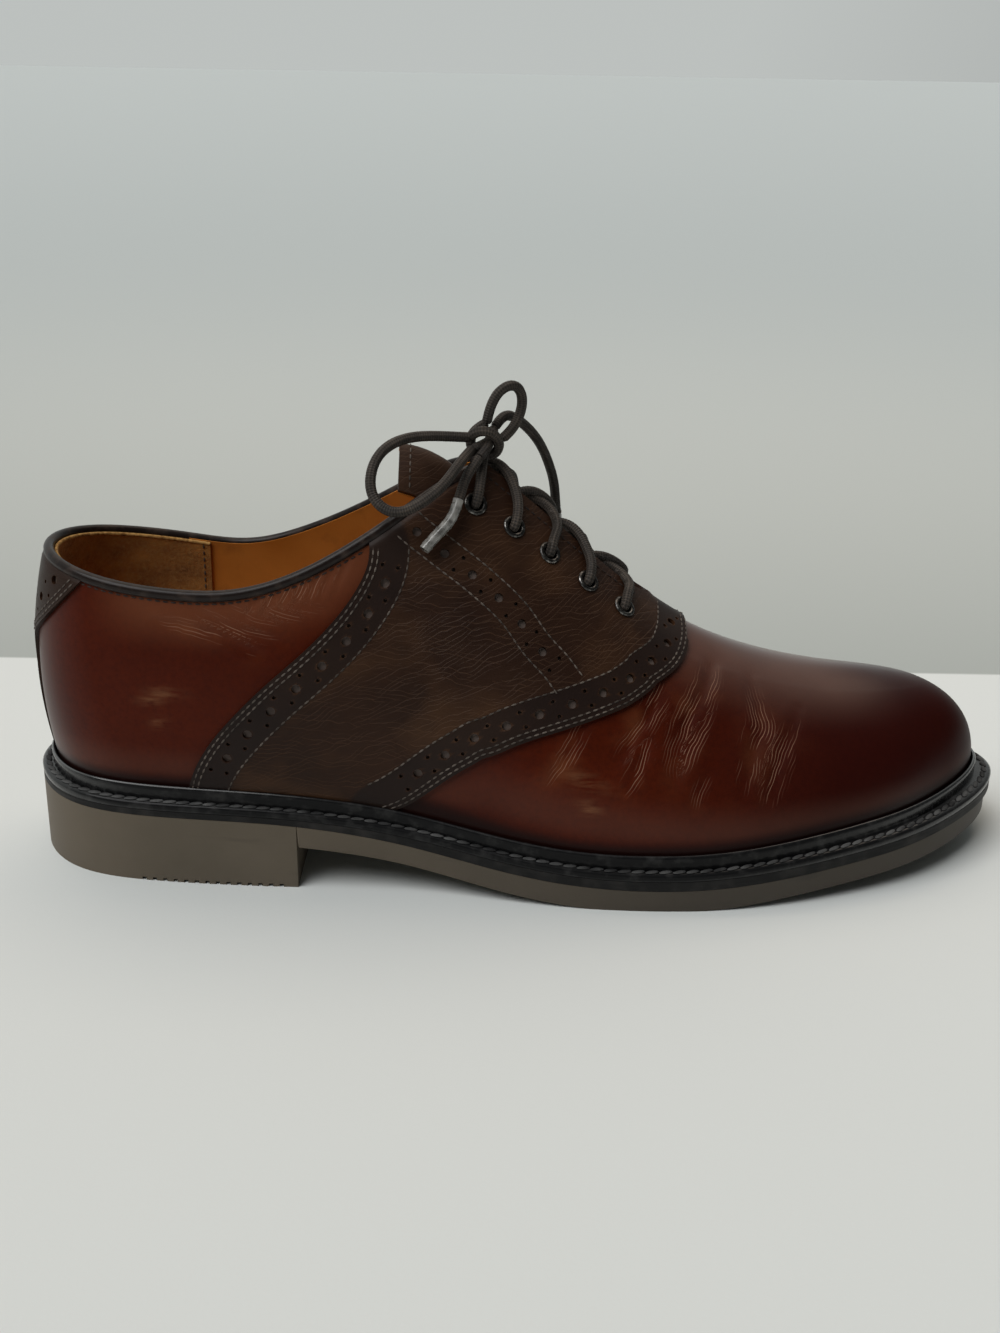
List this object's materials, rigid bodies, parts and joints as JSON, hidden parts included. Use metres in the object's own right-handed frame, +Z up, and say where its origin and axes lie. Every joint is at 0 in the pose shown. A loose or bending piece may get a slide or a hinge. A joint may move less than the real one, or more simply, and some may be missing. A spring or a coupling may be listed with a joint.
{
  "type": "brogue oxford shoe",
  "caption": "Right lace-up brogue oxford: red-brown hollow upper, dark punched saddle and heel tab, black storm welt, rubber sole with a low heel, and a tied bow.",
  "frame": {"origin": "middle of the sole's plan, at floor level", "axes": "+X to the toe, +Y to the inner side of the foot, +Z up from the floor"},
  "size_m": [0.3097, 0.1055, 0.1497],
  "materials": {
    "mahogany_leather": "polished red-brown leather, creased",
    "dark_brown_leather": "waxed dark brown leather, wrinkled",
    "tan_leather": "plain tan lining leather",
    "black_welt": "black edge dressing, satin",
    "taupe_rubber": "matte moulded rubber",
    "dark_metal": "dark plated, worn bright on the rim",
    "brown_lace": "round waxed braid",
    "lace_tip": "clear film over the braid"
  },
  "bodies": {
    "root": {"outsole": "taupe_rubber", "midsole": "black_welt", "welt": "black_welt", "insole": "tan_leather", "upper": "mahogany_leather", "saddle": "dark_brown_leather", "heel_tab": "dark_brown_leather", "tongue": "dark_brown_leather", "eyelet_outer_1": "dark_metal", "eyelet_outer_2": "dark_metal", "eyelet_outer_3": "dark_metal", "eyelet_outer_4": "dark_metal", "eyelet_outer_5": "dark_metal", "eyelet_inner_1": "dark_metal", "eyelet_inner_2": "dark_metal", "eyelet_inner_3": "dark_metal", "eyelet_inner_4": "dark_metal", "eyelet_inner_5": "dark_metal", "lace_crossing_1": "brown_lace", "lace_crossing_2": "brown_lace", "lace_crossing_3": "brown_lace", "lace_crossing_4": "brown_lace", "lace_knot": "brown_lace", "lace_loop_low": "brown_lace", "lace_loop_high": "brown_lace", "lace_end_near": "brown_lace", "lace_end_far": "brown_lace", "lace_tip_near": "lace_tip", "lace_tip_far": "lace_tip"}
  },
  "joints": []
}
